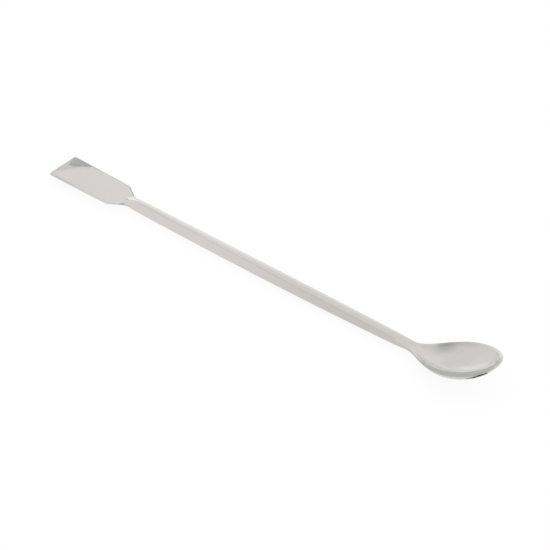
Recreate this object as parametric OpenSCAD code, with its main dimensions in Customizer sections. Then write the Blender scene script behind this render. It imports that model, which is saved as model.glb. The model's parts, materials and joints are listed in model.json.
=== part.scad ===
// Lab spatula: a flat blade, a slim oval handle and a spoon, all one piece of steel.
// It lies on the handle and on the spoon, as it rests on a bench.
// X runs along it towards the spoon, Z is up, and the sizes are in millimetres.

/* [Overall] */
// Length from the blade's free end to the tip of the spoon
overall_l = 150; // [120:1:200]

/* [Blade] */
// Length of the straight blade, up to its shoulders
blade_l = 21.2; // [12:0.1:34]
// Width at the free end
blade_end_w = 10.6; // [7:0.1:15]
// Width at the shoulders
blade_root_w = 9.9; // [7:0.1:15]
// Thickness of the blade
blade_t = 0.9; // [0.5:0.05:1.6]
// Radius of the two free corners
blade_corner_r = 0.7; // [0.2:0.05:2]
// Length over which the shoulders slope in to the handle
shoulder_l = 4.5; // [2:0.1:10]

/* [Handle] */
// Width at the middle of the handle, its widest place
handle_w = 4.55; // [3.5:0.05:7]
// Thickness at the middle of the handle
handle_t = 3.3; // [2:0.05:6]
// Width where the handle meets the blade
handle_blade_w = 3.9; // [2.5:0.05:6]
// Width where the handle meets the spoon
handle_spoon_w = 3.65; // [2.5:0.05:6]
// Drop of the middle of the handle below its two ends
handle_bow = 0.3; // [0:0.05:1.5]

/* [Spoon] */
// Length of the spoon, from the handle to the tip
bowl_l = 29; // [20:0.1:40]
// Width of the spoon over its lip
bowl_w = 15.2; // [11:0.1:22]
// Distance from the tip to the widest place
bowl_tip_l = 11.2; // [7:0.1:16]
// Depth of the inside below the lip
bowl_depth = 4.6; // [2:0.1:7]
// Thickness of the spoon's wall
bowl_wall = 0.9; // [0.5:0.05:1.4]
// Steepness of the wall at the lip, in degrees
bowl_wall_angle = 75; // [50:1:80]
// Upward tilt of the spoon from the handle, in degrees
bowl_tilt = 18.7; // [0:0.1:30]
// Distance from the start of the spoon to the middle of its bend
bend_x = 4; // [0:0.1:10]
// Length of the bend
bend_l = 11; // [4:0.1:20]

/* [Hidden] */
// Fineness: points round each section, and sections along each stretch
ring_n = 40;
corner_n = 6;
shoulder_n = 19;
handle_n = 23;
bowl_n = 27;
tip_n = 19;
// Small step for slopes, and a least size that keeps the powers defined
step = 0.001;
least = 0.000001;
// Least upright share of a wall's facing that the rounding of its edge is worked out for
least_upright = 0.2;
// Sharpness of the places where two outlines run into each other
shoulder_blend = 8;
chamfer_blend = 30;
bowl_blend = 3;
ridge_blend = 4;
// How the spoon opens in plan, and how its floor drops away from the handle
bowl_open_power = 1.22;
floor_power = 1.9;
// Where the handle's oval thins out: before and after the shoulders, and before and into the spoon
ridge_run = 4;
ridge_rise = 3.5;
neck_before = 2.9;
neck_after = 5.3;
// Stretch over which the sheet's thickness hands over to the oval
handover_l = 4;
// Left on each face of the forged blade for grinding, and the stretch over which that runs out
grind = 0.02;
grind_fade = 3;
// How far short of the handle the ground faces end
ground_short = 5;
// Gaps between the sections at the ends of each stretch
blade_sections = [2, 6, 12, 18];
shoulder_lead = 0.8;
shoulder_tail = 3;
handle_inset = 5;
bowl_lead = 4;
bowl_tail = 0.4;

// Lip: the wall leans out past the middle line of the sheet by this much
cap_cos = cos(bowl_wall_angle);
lip_rise = (1 + cap_cos) / cap_cos;
mid_depth = bowl_depth + bowl_wall / 2;
side_lean = atan(mid_depth * lip_rise / (bowl_w / 2));
tip_lean = atan(mid_depth * lip_rise / bowl_tip_l + tan(bowl_tilt));
side_out = bowl_wall / 2 * (sin(side_lean) - cos(side_lean));
tip_out = bowl_wall / 2 * (sin(tip_lean) - cos(tip_lean));

// Stations along the middle line of the sheet
neck_x = blade_l + shoulder_l;
bowl_x = overall_l - bowl_l;
wide_x = overall_l - bowl_tip_l;
tip_x = overall_l - tip_out;
middle_x = (neck_x + bowl_x) / 2;
half_handle = (bowl_x - neck_x) / 2;
half_bowl = bowl_w / 2 - side_out;
ground_x = neck_x - ground_short;

function held(t) = min(max(t, 0), 1);
function ease(t) = held(t) * held(t) * (3 - 2 * held(t));
// The greater of two sizes, with the change-over rounded
function greater(a, b, k) =
    let (m = max(a, b, least))
    m * pow(pow(max(a, 0) / m, k) + pow(max(b, 0) / m, k), 1 / k);
function lesser(a, b, k) = 1 / greater(1 / a, 1 / b, k);
function round_off(size, depth) = sqrt(max(0, size * size - pow(max(0, size - depth), 2)));

// Half widths, in plan
function handle_half(x) =
    let (u = min(max((x - middle_x) / half_handle, -1), 1))
    handle_w / 2 - (handle_w - (u < 0 ? handle_blade_w : handle_spoon_w)) / 2 * u * u;
function blade_half(x) =
    let (side = blade_end_w / 2 + (blade_root_w - blade_end_w) / 2 * x / blade_l)
    let (fall = blade_root_w / 2 - (blade_root_w - handle_blade_w) / 2 * (x - blade_l) / shoulder_l)
    lesser(side, max(fall, step), chamfer_blend) - blade_corner_r + round_off(blade_corner_r, x);
function opened(x) = held((x - bowl_x) / (wide_x - bowl_x));
function closed(x) = held((x - wide_x) / (tip_x - wide_x));
function bowl_half(x) =
    x < wide_x
    ? greater(
        handle_half(x) * (1 - ease(opened(x))),
        half_bowl * pow(sin(90 * opened(x)), bowl_open_power),
        bowl_blend
    )
    : half_bowl * sqrt(1 - pow(closed(x), 2));
function half_w(x) =
    x < bowl_x ? greater(handle_half(x), blade_half(x), shoulder_blend) : bowl_half(x);

// Height of the middle of the sheet: the bow of the handle, the bend, and the hollow of the spoon
function bow(x) =
    let (u = (x - neck_x) / (bowl_x - neck_x))
    -4 * handle_bow * (u < 0 ? u : (u > 1 ? 1 - u : u * (1 - u)));
function rise(x) =
    let (s = x - bowl_x - bend_x, b = bend_l / 2, t = tan(bowl_tilt))
    s < -b ? 0 : (s > b ? s * t : t * pow(s + b, 2) / (4 * b));
function hollow(x) = x < wide_x ? pow(sin(90 * opened(x)), floor_power) : 1 - pow(closed(x), 2);
function cap(x, v) = sqrt(pow(cap_cos, 2) + hollow(x) * (1 - v * v) * (1 - pow(cap_cos, 2)));
function mid_z(x, v) = bow(x) + rise(x) - mid_depth * (cap(x, v) - cap_cos) / (1 - cap_cos);

// Slopes of the sheet, and the way its upper side faces
function before(x) = max(x - step, 0);
function after(x) = min(x + step, tip_x - least);
function slope_w(x) = (half_w(after(x)) - half_w(before(x))) / (after(x) - before(x));
function slope_x(x, v) = (mid_z(after(x), v) - mid_z(before(x), v)) / (after(x) - before(x));
function slope_v(x, v) = mid_depth * hollow(x) * v * (1 + cap_cos) / cap(x, v);
function facing(x, v, w, dw) =
    let (n = [dw * v * slope_v(x, v) - slope_x(x, v) * w, -slope_v(x, v), w])
    n / norm(n);

// Half thickness: a sheet with round edges at both ends, and an oval between them
function oval_share(x) =
    ease((x - neck_x + ridge_run) / (ridge_run + ridge_rise))
    * (1 - ease((x - bowl_x + neck_before) / (neck_before + neck_after)));
function sheet_share(x) =
    1 - ease((x - neck_x) / handover_l) * (1 - ease((x - bowl_x + handover_l) / handover_l));
function forged_half(x) = blade_t / 2 + grind - 2 * grind * ease((x - ground_x + grind_fade) / grind_fade);
function half_t(x, v, w, dw, nz) =
    let (edge = w * (1 - v * v) / (2 * sqrt(dw * dw + v * v) + least))
    let (depth = min(edge, x) / max(nz, least_upright))
    let (sheet = round_off(x < middle_x ? forged_half(x) : bowl_wall / 2, depth))
    let (across = x < neck_x ? held(w * abs(v) / handle_half(x)) : abs(v))
    let (oval = handle_half(x) * handle_t / handle_w * sqrt(1 - across * across))
    greater(sheet * sheet_share(x), oval * oval_share(x), ridge_blend);

// One ring of points round the section at x: its upper side first, from edge to edge, then its underside
function ring(x) =
    let (w = half_w(x), dw = slope_w(x))
    [
        for (i = [0 : ring_n - 1])
        let (a = 360 * i / ring_n, v = cos(a), n = facing(x, v, w, dw))
        [x, w * v, mid_z(x, v)] + n * half_t(x, v, w, dw, n[2]) * sign(round(sin(a) / step))
    ];

function spread(from, to, n) = [for (i = [0 : n]) from + (to - from) * i / n];
stations = concat(
    [for (i = [0 : corner_n]) blade_corner_r * (1 - cos(90 * i / corner_n))],
    [for (x = blade_sections) if (x > blade_corner_r + step && x < blade_l - shoulder_lead - step) x],
    spread(blade_l - shoulder_lead, neck_x + shoulder_tail, shoulder_n),
    spread(neck_x + handle_inset, bowl_x - handle_inset, handle_n),
    spread(bowl_x - bowl_lead, wide_x - bowl_tail, bowl_n),
    [for (i = [0 : tip_n - 1]) wide_x + (tip_x - wide_x) * sin(90 * i / tip_n)]
);
rings = [for (x = stations) ring(x)];
last = len(rings) - 1;

// The sharp free end has one line of points, so its underside shares those of its upper side
function at(i, j) =
    let (k = j % ring_n)
    i == 0 && k > ring_n / 2 ? ring_n - k : i * ring_n + k;
// Each four-sided patch is cut along the diagonal that keeps the two sides of the spatula alike
function patch(a, b, c, d, flip) = flip ? [[a, b, c], [a, c, d]] : [[a, b, d], [b, c, d]];
function alike(j) = sin(720 * (j + 0.5) / ring_n) > 0;
skin = [
    for (i = [0 : last - 1])
    for (j = [0 : ring_n - 1])
    for (t = patch(at(i, j), at(i, j + 1), at(i + 1, j + 1), at(i + 1, j), alike(j)))
    if (t[0] != t[1] && t[1] != t[2] && t[0] != t[2])
    t
];
tip_fan = [for (j = [0 : ring_n - 1]) [at(last, j), at(last, j + 1), len(rings) * ring_n]];
facets = concat(skin, tip_fan);

// Its balance point, from the wedge that each facet makes with the origin
points = concat([for (r = rings) for (p = r) p], [[tip_x, 0, mid_z(tip_x, 0)]]);
wedges = [
    for (f = facets)
    let (volume = points[f[0]] * cross(points[f[1]], points[f[2]]))
    [volume, volume * (points[f[0]][0] + points[f[1]][0] + points[f[2]][0]) / 4]
];
whole = [for (w = wedges) 1] * wedges;
balance_x = whole[1] / whole[0];

// Where it comes to rest: on the two places, one each side of its balance, that hold it lowest
underside = [for (r = rings) [r[3 * ring_n / 4][0], r[3 * ring_n / 4][2]]];
chords = [
    for (a = underside)
    if (a[0] < balance_x)
    for (b = underside)
    if (b[0] > balance_x)
    let (slope = (b[1] - a[1]) / (b[0] - a[0]))
    [a[1] + slope * (balance_x - a[0]), slope]
];
lowest = min([for (c = chords) c[0]]);
rest_turn = atan([for (c = chords) if (c[0] == lowest) c[1]][0]);
function turned(p) = [
    cos(rest_turn) * p[0] + sin(rest_turn) * p[2],
    p[1],
    cos(rest_turn) * p[2] - sin(rest_turn) * p[0]
];
laid = [for (p = points) turned(p)];
laid_x = [for (p = laid) p[0]];
shift = [(min(laid_x) + max(laid_x)) / 2, 0, min([for (p = laid) p[2]])];

module forging() {
    polyhedron(points = [for (p = laid) p - shift], faces = facets, convexity = 6);
}

// What grinding takes off the upper (1) or lower (-1) side, to leave the blade flat and blade_t thick
module ground_off(side) {
    block = 2 * max(blade_end_w, blade_root_w);
    translate(-shift)
        rotate([0, rest_turn, 0])
            translate([0, 0, mid_z(0, 0)])
                rotate([0, -atan(slope_x(0, 0)), 0])
                    translate([(ground_x - block) / 2, 0, side * (blade_t + block) / 2])
                        cube([ground_x + block, block, block], center = true);
}

module spatula() {
    color("silver")
        difference() {
            forging();
            ground_off(1);
            ground_off(-1);
        }
}

spatula();
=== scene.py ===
"""Lab spatula of polished stainless steel, lying on white paper under soft light.

The spatula is one bar of steel: its shape follows a written rule, which Geometry Nodes
carry out on a grid of rows (along the bar) and columns (round it). Sizes are in
millimetres inside the rule and in metres everywhere else.
"""

import ast
import json
import math

import bpy
import numpy as np
from mathutils import Matrix, Vector


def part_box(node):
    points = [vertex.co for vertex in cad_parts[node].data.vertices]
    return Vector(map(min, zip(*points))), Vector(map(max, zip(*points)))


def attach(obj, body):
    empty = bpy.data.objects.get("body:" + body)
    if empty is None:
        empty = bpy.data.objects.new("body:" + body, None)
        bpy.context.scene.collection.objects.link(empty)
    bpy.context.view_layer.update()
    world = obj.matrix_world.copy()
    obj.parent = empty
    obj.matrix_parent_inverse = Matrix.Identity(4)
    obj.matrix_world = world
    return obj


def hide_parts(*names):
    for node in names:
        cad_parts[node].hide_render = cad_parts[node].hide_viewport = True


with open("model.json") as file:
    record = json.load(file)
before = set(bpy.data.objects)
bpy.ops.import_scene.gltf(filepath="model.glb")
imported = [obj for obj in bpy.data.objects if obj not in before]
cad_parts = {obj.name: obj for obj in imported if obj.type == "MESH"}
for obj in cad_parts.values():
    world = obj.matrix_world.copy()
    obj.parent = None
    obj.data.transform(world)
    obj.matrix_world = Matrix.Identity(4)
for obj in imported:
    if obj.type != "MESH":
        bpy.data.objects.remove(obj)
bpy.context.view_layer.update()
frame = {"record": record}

MM = 0.001


# ---------------------------------------------------------------- nodes


def add(tree, kind, links=(), **settings):
    """Adds a node, sets it up, and joins its inputs to sockets or sets them to values."""
    made = tree.nodes.new(kind)
    for name, value in settings.items():
        setattr(made, name, value)
    for where, value in dict(links).items():
        if isinstance(value, bpy.types.NodeSocket):
            tree.links.new(value, made.inputs[where])
        else:
            made.inputs[where].default_value = value
    return made


def linear(hex_colour):
    """sRGB hex to the linear colour that a shader socket takes."""
    parts = [int(hex_colour[i : i + 2], 16) / 255 for i in (1, 3, 5)]
    return [c / 12.92 if c < 0.04045 else ((c + 0.055) / 1.055) ** 2.4 for c in parts] + [1.0]


SIGNS = {
    ast.Add: "ADD",
    ast.Sub: "SUBTRACT",
    ast.Mult: "MULTIPLY",
    ast.Div: "DIVIDE",
    ast.Pow: "POWER",
    ast.Lt: "LESS_THAN",
}
WORDS = {
    "sin": "SINE",
    "cos": "COSINE",
    "tan": "TANGENT",
    "atan": "ARCTANGENT",
    "rad": "RADIANS",
    "root": "SQRT",
    "size": "ABSOLUTE",
    "lesser": "MINIMUM",
    "greater": "MAXIMUM",
}
# Phrases that a rule may use, each with its own formula. held keeps a value between 0 and 1, and ease makes a
# smooth step of it. quarter is a quarter of a wave. blend takes the larger of two values, and k says how sharply
# it changes from one to the other. round_off is the half thickness at a depth in from a round edge.
PHRASES = {
    "held": ("t", "lesser(greater(t, 0), 1)"),
    "eased": ("t", "t * t * (3 - 2 * t)"),
    "ease": ("t", "eased(held(t))"),
    "quarter": ("t", f"sin(t * {math.pi / 2})"),
    "blended": ("a b k m", "m * ((a / m) ** k + (b / m) ** k) ** (1 / k)"),
    "blend": ("a b k", "blended(a, b, k, greater(greater(a, b), 0.000001))"),
    "round_off": ("half depth", "root(half ** 2 - greater(half - depth, 0) ** 2)"),
}


def write_rule(tree, rule, known):
    """Turns written formulas into Math nodes. Each line names a result, which later lines may use.

    A choice between two values, written with if and else, works only in Geometry Nodes.
    """

    def part(e, names):
        if isinstance(e, ast.Constant):
            return float(e.value)
        if isinstance(e, ast.Name):
            return names[e.id]
        if isinstance(e, ast.IfExp):
            choice = [part(p, names) for p in (e.test, e.orelse, e.body)]
            return add(tree, "GeometryNodeSwitch", enumerate(choice), input_type="FLOAT").outputs[0]
        if isinstance(e, ast.Call):
            parts = [part(p, names) for p in e.args]
            if e.func.id in PHRASES:
                words, formula = PHRASES[e.func.id]
                return part(ast.parse(formula).body[0].value, dict(zip(words.split(), parts)))
            operation = WORDS[e.func.id]
        else:
            compares = isinstance(e, ast.Compare)
            operation = SIGNS[type(e.ops[0] if compares else e.op)]
            parts = [part(p, names) for p in (e.left, e.comparators[0] if compares else e.right)]
        return add(tree, "ShaderNodeMath", enumerate(parts), operation=operation).outputs[0]

    for line in ast.parse(rule).body:
        known[line.targets[0].id] = part(line.value, known)
    return known


# ---------------------------------------------------------------- the spatula's shape

# Its sizes: millimetres, or degrees for the two angles
SIZES = {
    "overall_length": 150.0,
    "blade_length": 21.2,
    "blade_end_width": 10.6,
    "blade_root_width": 9.9,
    "blade_thickness": 0.9,
    "corner_radius": 0.7,
    "shoulder_length": 4.5,
    "handle_width": 4.55,
    "handle_thickness": 3.3,
    "handle_width_at_blade": 3.9,
    "handle_width_at_spoon": 3.65,
    "handle_bow": 0.3,
    "spoon_length": 29.0,
    "spoon_width": 15.2,
    "widest_from_tip": 11.2,
    "spoon_depth": 4.6,
    "spoon_wall": 0.9,
    "wall_angle": 75.0,
    "spoon_tilt": 18.7,
    "bend_place": 4.0,
    "bend_length": 11.0,
}
# Rows of the grid along each stretch, and columns round the bar
CORNER_ROWS, BLADE_ROWS, SHOULDER_ROWS = 12, 16, 96
HANDLE_ROWS, SPOON_ROWS, TIP_ROWS = 110, 160, 80
ALL_ROWS = CORNER_ROWS + BLADE_ROWS + SHOULDER_ROWS + HANDLE_ROWS + SPOON_ROWS + TIP_ROWS
COLUMNS = 136
# Points nearer than this, in millimetres, are joined where the grid's edges meet
SEAM = 0.0004

# Where each row and column of the grid goes: row and turn run from 0 to 1 over the grid
LAYOUT = f"""
neck = blade_length + shoulder_length
spoon = overall_length - spoon_length
widest = overall_length - widest_from_tip
cap = cos(rad(wall_angle))
depth = spoon_depth + spoon_wall / 2
steepness = depth * (1 + cap) / cap
side_lean = atan(steepness * 2 / spoon_width)
tip_lean = atan(steepness / widest_from_tip + tan(rad(spoon_tilt)))
half_spoon = spoon_width / 2 - spoon_wall / 2 * (sin(side_lean) - cos(side_lean))
tip = overall_length - spoon_wall / 2 * (sin(tip_lean) - cos(tip_lean))
step = row * {ALL_ROWS}
shoulder_from = blade_length - 1.2
shoulder_to = neck + 4
spoon_from = spoon - 5
corner = held(step / {CORNER_ROWS})
flat = held((step - {CORNER_ROWS}) / {BLADE_ROWS})
shoulder = held((step - {CORNER_ROWS + BLADE_ROWS}) / {SHOULDER_ROWS})
grip = held((step - {CORNER_ROWS + BLADE_ROWS + SHOULDER_ROWS}) / {HANDLE_ROWS})
opening = held((step - {ALL_ROWS - TIP_ROWS - SPOON_ROWS}) / {SPOON_ROWS})
end = held((step - {ALL_ROWS - TIP_ROWS}) / {TIP_ROWS})
x_corner = corner_radius * (1 - cos(corner * {math.pi / 2}))
x_blade = (shoulder_from - corner_radius) * flat + (shoulder_to - shoulder_from) * shoulder
x_handle = (spoon_from - shoulder_to) * grip
x_spoon = (widest - spoon_from) * opening + (tip - widest) * quarter(end)
x = x_corner + x_blade + x_handle + x_spoon
v = 0 - cos(turn * {2 * math.pi})
under = 0.5 < turn
"""

# Half the width at x, and the height of the middle of the sheet at x and v. v runs from -1 to 1 across
MIDDLE = """
from_middle = (2 * x - neck - spoon) / (spoon - neck)
end_width = handle_width_at_blade if from_middle < 0 else handle_width_at_spoon
grip_half = (handle_width - (handle_width - end_width) * lesser(size(from_middle), 1) ** 2) / 2
blade_side = (blade_end_width + (blade_root_width - blade_end_width) * x / blade_length) / 2
narrowing = (blade_root_width - handle_width_at_blade) * (x - blade_length) / shoulder_length
slope_in = (blade_root_width - narrowing) / 2
blade_plan = 1 / blend(1 / blade_side, 1 / greater(slope_in, 0.001), 30)
blade_half = blade_plan - corner_radius + round_off(corner_radius, x)
opened = held((x - spoon) / (widest - spoon))
closed = held((x - widest) / (tip - widest))
bowl_opening = blend(grip_half * (1 - ease(opened)), half_spoon * quarter(opened) ** 1.22, 3)
bowl_closing = half_spoon * root(1 - closed ** 2)
bowl_half = bowl_opening if x < widest else bowl_closing
half_width = blend(grip_half, greater(blade_half, 0), 8) if x < spoon else bowl_half
u = (x - neck) / (spoon - neck)
bow = (0 - 4) * handle_bow * (u if u < 0 else (u * (1 - u) if u < 1 else 1 - u))
past_bend = x - spoon - bend_place
up = tan(rad(spoon_tilt))
bent = up * (past_bend + bend_length / 2) ** 2 / (2 * bend_length)
beyond = past_bend * up if bend_length / 2 < past_bend else bent
rise = 0 if past_bend < 0 - bend_length / 2 else beyond
hollow = quarter(opened) ** 1.9 if x < widest else 1 - closed ** 2
dish = (root(cap ** 2 + hollow * (1 - v ** 2) * (1 - cap ** 2)) - cap) / (1 - cap)
y = half_width * v
z = bow + rise - depth * dish
"""

# Half the thickness: a sheet with round edges at both ends, and an oval between them. from_edge is how far
# in from the rim of the sheet a point is
THICKNESS = """
sheet = round_off((blade_thickness if x < spoon / 2 else spoon_wall) / 2, from_edge)
sheet_left = 1 - ease((x - neck) / 4) * (1 - ease((x - spoon + 4) / 4))
across = held(half_width * size(v) / grip_half) if x < neck else size(v)
oval = grip_half * handle_thickness / handle_width * root(1 - across ** 2)
oval_there = ease((x - neck + 4) / 7.5) * (1 - ease((x - spoon + 2.9) / 8.2))
half_thickness = blend(sheet * sheet_left, oval * oval_there, 4)
"""


def spatula_rule(steel):
    """The node tree that makes the spatula, lying along X with its free end at 0."""
    tree = bpy.data.node_groups.new("spatula rule", "GeometryNodeTree")
    tree.interface.new_socket("Geometry", in_out="OUTPUT", socket_type="NodeSocketGeometry")
    for name in SIZES:
        tree.interface.new_socket(name, in_out="INPUT", socket_type="NodeSocketFloat")
    given = add(tree, "NodeGroupInput")
    known = {name: given.outputs[name] for name in SIZES}

    grid = add(
        tree,
        "GeometryNodeMeshGrid",
        {"Size X": 1.0, "Size Y": 1.0, "Vertices X": ALL_ROWS + 1, "Vertices Y": COLUMNS + 1},
    )
    on_grid = add(tree, "ShaderNodeSeparateXYZ", {0: add(tree, "GeometryNodeInputPosition").outputs[0]})
    known["grid_x"], known["grid_y"] = on_grid.outputs[0], on_grid.outputs[1]
    write_rule(tree, "row = grid_x + 0.5\nturn = grid_y + 0.5" + LAYOUT, known)

    # Each grid point keeps its place along and across the bar and its side, because it is about to move
    kept = grid.outputs[0]
    for name in ("x", "v", "under"):
        kept = add(
            tree,
            "GeometryNodeStoreNamedAttribute",
            {"Geometry": kept, "Name": name, "Value": known[name]},
            data_type="FLOAT",
            domain="POINT",
        ).outputs[0]
        read = add(tree, "GeometryNodeInputNamedAttribute", {"Name": name}, data_type="FLOAT")
        known[name] = read.outputs[0]
    write_rule(tree, MIDDLE, known)
    middle = add(tree, "ShaderNodeCombineXYZ", {"X": known["x"], "Y": known["y"], "Z": known["z"]})
    sheet = add(tree, "GeometryNodeSetPosition", {"Geometry": kept, "Position": middle.outputs[0]})

    # The rim: both long edges of the sheet and its free end, from which the round edges are measured
    at_rim = write_rule(tree, "at_rim = 1 if x < 0.0001 else 0.99999 < size(v)", known)["at_rim"]
    rim = add(
        tree, "GeometryNodeSeparateGeometry", {"Geometry": sheet.outputs[0], "Selection": at_rim}, domain="POINT"
    )
    near = add(tree, "GeometryNodeProximity", {"Geometry": rim.outputs[0]}, target_element="EDGES")
    # The finish changes at the edges, so this distance is kept too
    sheet = add(
        tree,
        "GeometryNodeStoreNamedAttribute",
        {"Geometry": sheet.outputs[0], "Name": "from_edge", "Value": near.outputs["Distance"]},
        data_type="FLOAT",
        domain="POINT",
    )
    read = add(tree, "GeometryNodeInputNamedAttribute", {"Name": "from_edge"}, data_type="FLOAT")
    known["from_edge"] = read.outputs[0]
    write_rule(tree, THICKNESS, known)

    # The grid is folded round the sheet, so laying it off along its own normals gives both sides
    out = add(
        tree,
        "ShaderNodeVectorMath",
        {"Vector": add(tree, "GeometryNodeInputNormal").outputs[0], "Scale": known["half_thickness"]},
        operation="SCALE",
    )
    body = add(tree, "GeometryNodeSetPosition", {"Geometry": sheet.outputs[0], "Offset": out.outputs[0]})
    closed = add(tree, "GeometryNodeMergeByDistance", {"Geometry": body.outputs[0], "Distance": SEAM})
    in_metres = add(tree, "GeometryNodeTransform", {"Geometry": closed.outputs[0], "Scale": (MM, MM, MM)})
    smooth = add(tree, "GeometryNodeSetShadeSmooth", {"Geometry": in_metres.outputs[0]})
    real = add(tree, "GeometryNodeRealizeInstances", {"Geometry": smooth.outputs[0]})
    finished = add(tree, "GeometryNodeSetMaterial", {"Geometry": real.outputs[0], "Material": steel})
    add(tree, "NodeGroupOutput", {0: finished.outputs[0]})
    return tree


def forge(name, tree, sizes):
    """Carries out the tree with these sizes and gives the result as a plain mesh object."""
    blank = bpy.data.objects.new(name, bpy.data.meshes.new(name))
    bpy.context.scene.collection.objects.link(blank)
    rule = blank.modifiers.new("rule", "NODES")
    rule.node_group = tree
    for socket in tree.interface.items_tree:
        if socket.in_out == "INPUT":
            rule[socket.identifier] = sizes[socket.name]
    shape = bpy.data.meshes.new_from_object(blank.evaluated_get(bpy.context.evaluated_depsgraph_get()))
    blank.modifiers.remove(rule)
    blank.data = shape
    return blank


def low_and_high(mesh):
    """The two opposite corners of the box round a mesh."""
    points = np.empty(len(mesh.vertices) * 3)
    mesh.vertices.foreach_get("co", points)
    points = points.reshape(-1, 3)
    return points.min(0), points.max(0)


# ---------------------------------------------------------------- the finish

# How high the slow waves of the polish stand, and how deep its marks are
WAVE_HEIGHT, MARK_DEPTH = 0.02 * MM, 0.0012 * MM

# How each place was finished, and where light and shade are painted into its colour. x runs along the bar from
# the blade's end, with the blade up to 21, the handle from 26 and the spoon from 121 to 150. y runs across it and
# away from the camera, from_edge is how far in from the rim a place is, and under is 1 on the underside. All in
# millimetres. Painted shade: the half towards the spoon is darker. The rim, the far wall, the throat and the far
# corner by the neck of the spoon are a darker grey. The blade's far edge and end, and a spot on its near shoulder,
# are darker still. Painted highlight: the near side and the tip inside the spoon are paler. Painted reflection: the
# near part of the spoon's floor is a cooler grey.
FINISH = """
top = 1 - under
hollow = ease((x - 122) / 8) * top
lip = 0.4 + under * (0.9 * ease((x - 129) / 11) - 1.5 * ease((x + y - 141) / 9))
round_rim = ease((x - 126) / 5) * ease((153 - x - y) / 3) * ease((3.5 - y) / 2)
rim = ease((lip + 0.25 - from_edge) / 0.35) * round_rim
far_side = ease((y - 2) / 2) * ease((x - 127) / 5) * ease((142 - x) / 9) * top
far_wall = 0.75 * ease((2.2 - from_edge) / 1.9) * far_side
throat_only = ease((x - 126) / 4.5) * (1 - ease((x - 130.5) / 6.5)) * top
throat = ease((4.6 - from_edge) / 4) * ease(y / 1.5) * throat_only
ground = greater(rim, greater(far_wall, throat))
end_edge = ease((1.2 - x) / 0.5) * (0.3 + 0.7 * ease(y + 5))
long_edges = greater(ease(y), 0.2 * ease((11 - x) / 4))
on_blade = top * ease((27 - x) / 2) * greater(end_edge, long_edges)
sheared = ease((0.5 - from_edge) / 0.25) * ease((from_edge + 0.05) / 0.15) * on_blade
nick_only = ease((x - 24) / 0.7) * ease((26 - x) / 0.7) * ease((0 - 1.2 - y) / 0.4)
nick = 0.4 * ease((0.5 - from_edge) / 0.3) * nick_only
corner_only = ease((x - 127.5) / 2) * ease((134 - x) / 3) * ease(y) * top
corner = 0.35 * ease((1.3 - from_edge) / 0.8) * corner_only
edges = greater(sheared, greater(nick, corner))
near_floor = hollow * ease((0.2 * (x - 128) + 0.5 - y) / 1.5)
near_side = ease((0.1 * (x - 128) - 0.6 - y) / 0.8)
inner_edge = hollow * near_side * ease((x - 128) / 8)
tip_only = ease((x - 145.5) / 2) * ease((4.5 - y) / 1.5) * top
tip_wall = ease((1.9 - from_edge) / 0.8) * ease((from_edge - 0.3) / 0.3) * tip_only
scratch = ease((0.02 - crack) / 0.014) * ease((pressure - 0.48) / 0.1)
streaks = 0.035 * ease((marks - 0.2) / 0.6) + 0.02 * ease((pressure - 0.2) / 0.6)
roughness = 0.015 + streaks + 0.06 * scratch + 0.18 * hollow + 0.25 * greater(ground, edges)
spoon_half = ease((x - 55) / 50)
relief = marks - 0.8 * scratch
"""


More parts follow.
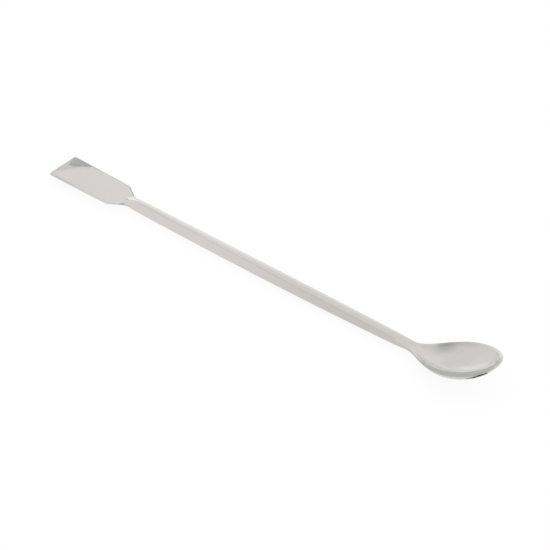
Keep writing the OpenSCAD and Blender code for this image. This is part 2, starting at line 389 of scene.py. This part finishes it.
def polished_stainless_steel():
    """Stainless steel, forged, then polished on a soft wheel after grinding along its length.

    The flats and the handle are nearly a mirror, with a slow unevenness from the wheel's pressure,
    fine streaks along the bar and a few hair scratches. The half towards the spoon is painted a little
    warmer and darker, as painted shade. Inside the spoon the wheel reached less well, so it is softer
    there. The near side and the tip inside the spoon are painted paler, as painted highlight, and the
    near part of its floor a cooler grey, as painted reflection. The rim, the far wall and the throat of
    the spoon are satin and painted a darker grey, as painted shade. The blade's far edge and end, a
    spot on its near shoulder and the spoon's far rim by the neck are painted darker still, as painted shade.
    """
    steel = bpy.data.materials.new("polished stainless steel")
    steel.use_nodes = True
    tree = steel.node_tree
    tree.nodes.clear()
    in_metres = add(tree, "ShaderNodeTexCoord").outputs["Object"]

    # Object coordinates in millimetres, and the same drawn out along the bar
    in_mm = add(tree, "ShaderNodeMapping", {"Vector": in_metres, "Scale": (1 / MM, 1 / MM, 1 / MM)}).outputs[0]
    drawn = add(tree, "ShaderNodeMapping", {"Vector": in_mm, "Scale": (0.04, 1, 1)}).outputs[0]
    aslant = add(
        tree, "ShaderNodeMapping", {"Vector": in_mm, "Rotation": (0, 0, 0.35), "Scale": (0.25, 1.6, 1)}
    ).outputs[0]
    known = {
        name: add(tree, "ShaderNodeAttribute", attribute_name=name).outputs["Fac"]
        for name in ("x", "under", "from_edge")
    }
    known["y"] = add(tree, "ShaderNodeSeparateXYZ", {0: in_mm}).outputs[1]
    # Polishing marks are about 0.02 mm apart, too fine to show, so they are drawn 0.3 mm apart
    known["marks"] = add(
        tree, "ShaderNodeTexNoise", {"Vector": drawn, "Scale": 1 / 0.3, "Detail": 4.0, "Roughness": 0.6}
    ).outputs["Fac"]
    # The wheel's pressure varies over 6 to 10 mm
    known["pressure"] = add(
        tree, "ShaderNodeTexNoise", {"Vector": in_mm, "Scale": 1 / 8, "Detail": 2.0, "Roughness": 0.5}
    ).outputs["Fac"]
    # Hair scratches 3 to 10 mm long are the joints of a loose net, and show only where the wheel pressed less.
    # A real one is 0.01 mm wide, and these are drawn at 0.05 mm
    known["crack"] = add(
        tree, "ShaderNodeTexVoronoi", {"Vector": aslant, "Scale": 1 / 2.2}, feature="DISTANCE_TO_EDGE"
    ).outputs["Distance"]
    write_rule(tree, FINISH, known)

    # Each layer of colour: how much of it there is, and what it is
    colour = linear("#CECBC9")
    for amount, shade in (
        ("pressure", "#D3D0CE"),
        # Painted shade: the half towards the spoon is painted darker and a little warmer
        ("spoon_half", "#C5C2BC"),
        ("hollow", "#CCCAC7"),
        # Painted reflection: the near part of the spoon's floor is painted a cooler grey
        ("near_floor", "#CBCBCA"),
        # Painted highlight: the near side inside the spoon is painted paler
        ("inner_edge", "#DEDEDD"),
        # Painted highlight: the wall inside the spoon's tip is painted paler
        ("tip_wall", "#E2E2E0"),
        # Satin, and painted shade: the rim, the far wall and the throat of the spoon are painted a darker grey
        ("ground", "#B0B0AC"),
        # Painted shade: darker along the blade's far edge and end, in a spot on its near shoulder, and at the
        # spoon's far rim by the neck
        ("edges", "#8B8C8A"),
    ):
        colour = add(
            tree, "ShaderNodeMix", {"Factor": known[amount], "A": colour, "B": linear(shade)}, data_type="RGBA"
        ).outputs["Result"]
    wave = add(tree, "ShaderNodeBump", {"Height": known["pressure"], "Strength": 1.0, "Distance": WAVE_HEIGHT})
    fine = add(
        tree,
        "ShaderNodeBump",
        {"Height": known["relief"], "Strength": 1.0, "Distance": MARK_DEPTH, "Normal": wave.outputs[0]},
    )
    shader = add(
        tree,
        "ShaderNodeBsdfPrincipled",
        {"Metallic": 1.0, "Roughness": known["roughness"], "Normal": fine.outputs[0], "Base Color": colour},
    )
    add(tree, "ShaderNodeOutputMaterial", {"Surface": shader.outputs[0]})
    return steel


def matt_white_paper():
    """Matt white background paper, lit from behind as well, so that shadows on it stay faint.

    Nine tenths of what is seen straight is the light from behind, and a little less in the polish.
    """
    paper = bpy.data.materials.new("matt white paper")
    paper.use_nodes = True
    tree = paper.node_tree
    tree.nodes.clear()
    matt = add(tree, "ShaderNodeBsdfDiffuse", {"Color": linear("#FFFFFF")})
    lit = add(tree, "ShaderNodeEmission", {"Color": linear("#FFFFFF"), "Strength": 1.0})
    rays = add(tree, "ShaderNodeLightPath").outputs
    known = {"eye": rays["Is Camera Ray"], "polish": rays["Is Glossy Ray"]}
    share = write_rule(tree, "share = 0.9 * eye + 0.85 * polish", known)["share"]
    both = add(tree, "ShaderNodeMixShader", {0: share, 1: matt.outputs[0], 2: lit.outputs[0]})
    add(tree, "ShaderNodeOutputMaterial", {"Surface": both.outputs[0]})
    return paper


# ---------------------------------------------------------------- the spatula in its place

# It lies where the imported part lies, and is drawn the least bit smaller so as not to stand proud of its box
JUST_INSIDE = 0.99999
spatula = forge("spatula_steel", spatula_rule(polished_stainless_steel()), SIZES)
low, high = low_and_high(spatula.data)
packed_low, packed_high = map(Vector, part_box("spatula"))
fit = min(1.0, min((packed_high[i] - packed_low[i]) / (high[i] - low[i]) for i in range(3)) * JUST_INSIDE)
made_middle = Vector((low + high) / 2)
spatula.data.transform(
    Matrix.Translation((packed_low + packed_high) / 2) @ Matrix.Scale(fit, 4) @ Matrix.Translation(-made_middle)
)
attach(spatula, "root")
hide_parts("spatula")

# ---------------------------------------------------------------- camera

# It looks down across the spatula, with the blade far and to the left
AZIMUTH, ELEVATION = math.radians(39.752), math.radians(38.215)
# A long lens, how far off it stands, and how far the middle of the view is from the spatula's, right and up
LENS, DISTANCE = 170.182, 691.416 * MM
ASIDE, ABOVE = 1.8697 * MM, 0.8448 * MM
far = Vector((-math.sin(AZIMUTH), math.cos(AZIMUTH), 0))
back = -far * math.cos(ELEVATION) + Vector((0, 0, math.sin(ELEVATION)))
right = Vector((math.cos(AZIMUTH), math.sin(AZIMUTH), 0))
up = back.cross(right)

camera = bpy.data.objects.new("camera", bpy.data.cameras.new("camera"))
bpy.context.scene.collection.objects.link(camera)
camera.data.sensor_width = 36.0
camera.data.lens = LENS
camera.data.clip_end = 20
heading = Matrix((right, up, back)).transposed().to_4x4()
camera.matrix_world = Matrix.Translation(back * DISTANCE + right * ASIDE + up * ABOVE) @ heading
bpy.context.scene.camera = camera
bpy.context.scene.view_settings.view_transform = "Standard"

# ---------------------------------------------------------------- the studio


def flat_plate(name, outline, finish):
    """A thin plate that stands in the studio and is no part of the spatula."""
    mesh = bpy.data.meshes.new(name)
    mesh.from_pydata([tuple(corner) for corner in outline], [], [range(len(outline))])
    mesh.materials.append(finish)
    plate = bpy.data.objects.new(name, mesh)
    bpy.context.scene.collection.objects.link(plate)
    return plate


def grey_card(name, outline, shade, faces):
    """A matt grey card held just out of sight: its front shows in the polish, and it throws no shadow."""
    board = bpy.data.materials.new("matt grey card")
    board.use_nodes = True
    tree = board.node_tree
    tree.nodes.clear()
    front = add(tree, "ShaderNodeEmission", {"Color": linear(shade), "Strength": 1.0}).outputs[0]
    nothing = add(tree, "ShaderNodeBsdfTransparent").outputs[0]
    behind = add(tree, "ShaderNodeNewGeometry").outputs["Backfacing"]
    one_sided = add(tree, "ShaderNodeMixShader", {0: behind, 1: front, 2: nothing})
    add(tree, "ShaderNodeOutputMaterial", {"Surface": one_sided.outputs[0]})
    plate = flat_plate(name, outline, board)
    if plate.data.polygons[0].normal.dot(Vector(faces) - plate.data.polygons[0].center) < 0:
        plate.data.flip_normals()
    plate.visible_camera = plate.visible_diffuse = plate.visible_shadow = plate.visible_transmission = False


blade_face = next(mount for mount in frame["record"]["mounts"] if mount["name"] == "blade_face")
middle, out = Vector(blade_face["pos_m"]), Vector(blade_face["axis"])


CARD_DISTANCE = 40 * MM


def in_line(x, y):
    """Where the camera's line to a place on the blade's face meets the cards, after the polish turns it."""
    point = Vector((x * MM, y * MM, 0))
    point.z = middle.z - (point - middle).xy.dot(out.xy) / out.z
    line = (point - camera.matrix_world.translation).normalized()
    return point + line.reflect(out) * CARD_DISTANCE


# How bright the cloth is in each direction: away from the camera, towards it, along the spatula and across it.
# Two cloths meet overhead at a seam, and the far one is a little brighter, most of all low down, where the lamps
# stand behind it. One more lamp stands beyond the blade's end. The cloth is a little darker round the gap that the
# camera looks through. turns counts how often the light meets the steel, and the hollow of the spoon, which sees
# itself, gets its brightness back.
CLOTH = """
past_seam = across + 6.4 * (along + 0.54) - 0.33
seam = 1 - 0.14 * ease(1 - size(past_seam) / 0.16) * ease((along + 0.556) / 0.01)
far_cloth = (0.035 + 0.065 * ease((along + 0.51) / 0.04)) * ease((past_seam + 0.1) / 0.2)
lamp_middle = 0.21 - 0.06 * ease((0 - 0.84 - along) / 0.08)
lamp_edge = 0.05 * ease((0 - 0.84 - along) / 0.1)
blade_lamp = lamp_edge + lamp_middle * ease((0 - 0.66 - along) / 0.14) * ease((away - 0.74) / 0.12)
lamps = 1 + far_cloth + 0.18 * held((away - 0.82) / 0.18) + blade_lamp
gap = 1 - 0.1 * ease((towards - 0.72) / 0.22)
level = lamps * gap * seam * (1 + 0.55 * held(turns - 1) + 0.45 * held(turns - 2))
"""


def white_tent():
    """White cloth all round. Looked at straight, it is plain white."""
    world = bpy.data.worlds.new("white tent")
    bpy.context.scene.world = world
    world.use_nodes = True
    tree = world.node_tree
    tree.nodes.clear()
    direction = add(tree, "ShaderNodeTexCoord").outputs["Generated"]
    rays = add(tree, "ShaderNodeLightPath").outputs
    known = {"turns": rays["Glossy Depth"]}
    for name, heading in (("away", far), ("towards", back), ("along", (1, 0, 0)), ("across", (0, 1, 0))):
        known[name] = add(
            tree, "ShaderNodeVectorMath", {0: direction, 1: tuple(heading)}, operation="DOT_PRODUCT"
        ).outputs["Value"]
    write_rule(tree, CLOTH, known)
    cloth = add(tree, "ShaderNodeBackground", {"Color": linear("#FFFFFF"), "Strength": known["level"]})
    plain = add(tree, "ShaderNodeBackground", {"Color": linear("#FFFFFF"), "Strength": 1.0})
    both = add(tree, "ShaderNodeMixShader", {0: rays["Is Camera Ray"], 1: cloth.outputs[0], 2: plain.outputs[0]})
    add(tree, "ShaderNodeOutputWorld", {"Surface": both.outputs[0]})


white_tent()
# The paper reaches this far each way, in metres
REACH = 3
flat_plate("floor", [(x * REACH, y * REACH, 0) for x, y in ((-1, -1), (1, -1), (1, 1), (-1, 1))], matt_white_paper())
# Two cards darken the far corner of the blade, and a paler one shows beside them along its end, in a wedge.
# Each corner is the place on the blade's face, in millimetres, where it shows
EDGE_CARD = (-73.3, 0.9), (-71.7, 1.2), (-67.8, 4.4), (-65, 6.7), (-65.5, 7.6), (-72.5, 2.2), (-73.6, 1.6)
CORNER_CARD = (-73.6, 1.6), (-72.5, 2.2), (-65.5, 7.6), (-67, 10), (-76, 10), (-74.9, 4.4)
WEDGE_INSIDE = (-71.7, -0.4), (-69.6, 2.9), (-71.7, 1.2), (-73.3, 0.9), (-73.6, 1.6), (-74.9, 4.4), (-76, 10)
WEDGE_CARD = (-75.8, -7.4), *WEDGE_INSIDE, (-79, 10), (-79, -5)
grey_card("edge_card", [in_line(*p) for p in EDGE_CARD], "#BEC2C0", middle)
grey_card("corner_card", [in_line(*p) for p in CORNER_CARD], "#D2D6D4", middle)
grey_card("wedge_card", [in_line(*p) for p in WEDGE_CARD], "#F3F2EF", middle)
# A low dark fence of four boards that lean away from the tip stands in for the shade under the spoon: seen
# only in the polish, it shows as a streak along the spoon's underside, a painted reflection of shade.
# The boards face a place above them, beside the tip
FENCE_FOOT = ((67.8, -3.8), (70.3, -3.3), (72.2, -2.5), (72.9, -1.4), (74.0, 0.8))
FENCE_TOP = ((67.9, -4.0, 3.0), (69.6, -3.4, 4.8), (71.0, -2.4, 4.5), (71.5, -1.4, 4.0), (72.2, 1.0, 3.0))
FENCE_SHADES = "#B0B0AE", "#707070", "#303030", "#404040"
BESIDE_THE_TIP = Vector((73, -6, 9)) * MM
for number, shade in enumerate(FENCE_SHADES):
    foot = [(x, y, 0) for x, y in FENCE_FOOT[number : number + 2]]
    board = [Vector(corner) * MM for corner in (*foot, *FENCE_TOP[number : number + 2][::-1])]
    grey_card(f"shadow_fence_{number}", board, shade, BESIDE_THE_TIP)
